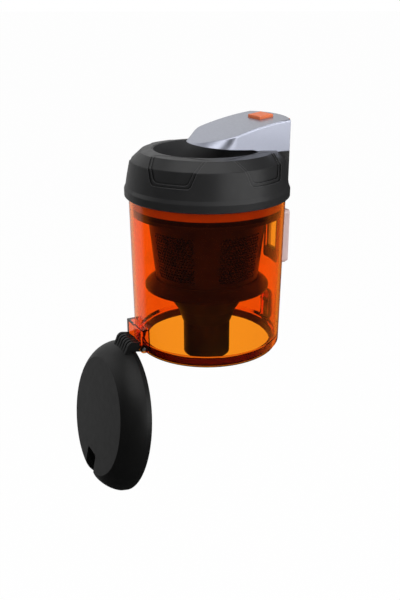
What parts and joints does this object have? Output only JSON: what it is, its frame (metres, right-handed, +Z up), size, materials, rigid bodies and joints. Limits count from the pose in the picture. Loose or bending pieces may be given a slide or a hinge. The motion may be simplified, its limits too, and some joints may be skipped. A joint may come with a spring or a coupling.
{
  "type": "vacuum cleaner dust container",
  "caption": "Clear orange cyclone dust container of an upright vacuum cleaner: black collar, silver handle with orange release button, dark shroud, bottom lid hanging open.",
  "frame": {"origin": "on the inlet gasket's docking face, in the middle of its lower border", "axes": "+X points out of the docking face to the rear, +Z up along the bin's axis, +Y to the left seen from behind"},
  "size_m": [0.1751, 0.1265, 0.2888],
  "materials": {
    "clear_orange": "clear orange tinted plastic",
    "black_satin": "fine satin moulded plastic",
    "silver": "silver satin plastic",
    "orange": "opaque orange plastic",
    "charcoal": "matte charcoal plastic",
    "rubber": "soft black rubber",
    "clear_gasket": "pale clear rubber",
    "steel": "bright steel wire and pins",
    "dark_plastic": "dark grey moulded plastic",
    "filter_paper": "pleated white filter medium",
    "foam": "open-cell grey foam"
  },
  "bodies": {
    "bin": {"dust_bin": "clear_orange", "bin_bottom_seal": "rubber", "inlet_gasket": "clear_gasket", "hinge_pin": "steel", "latch_pin": "steel", "latch_spring": "steel"},
    "lid": {"lid_shell": "charcoal", "tube_seal": "rubber"},
    "latch": {"lid_latch": "dark_plastic"},
    "head": {"collar_ring": "black_satin", "collar_dish": "black_satin", "collar_seal": "clear_gasket", "outlet_gasket": "rubber", "handle_shell": "silver", "handle_base": "black_satin", "lever_pin": "steel", "lever_spring": "steel", "mesh_shroud": "dark_plastic", "shroud_flange": "dark_plastic", "shroud_skirt": "dark_plastic", "lower_cone": "dark_plastic", "dust_tube": "dark_plastic", "filter_frame": "dark_plastic", "pleated_filter": "filter_paper", "foam_sleeve": "foam"},
    "lever": {"release_lever": "orange"}
  },
  "joints": [
    {"name": "lid_hinge", "type": "hinge", "parent": "bin", "child": "lid", "pos_m": [-0.12575, 0.00675, -0.05815], "axis": [0, 1, 0], "range_deg": [-101, 0]},
    {"name": "latch_pivot", "type": "hinge", "parent": "bin", "child": "latch", "pos_m": [-0.0027, 0.00675, -0.04375], "axis": [0, -1, 0], "range_deg": [0, 6], "stiffness_Nm_per_rad": 0.1, "springref_deg": -5.73, "deforming": ["latch_spring"]},
    {"name": "head_lift", "type": "slide", "parent": "bin", "child": "head", "axis": [0, 0, 1], "range_m": [0, 0.14]},
    {"name": "lever_pivot", "type": "hinge", "parent": "head", "child": "lever", "pos_m": [-0.0095, 0.00675, 0.10475], "axis": [0, -1, 0], "range_deg": [0, 6], "stiffness_Nm_per_rad": 0.4, "springref_deg": -5.73, "deforming": ["lever_spring"]}
  ]
}
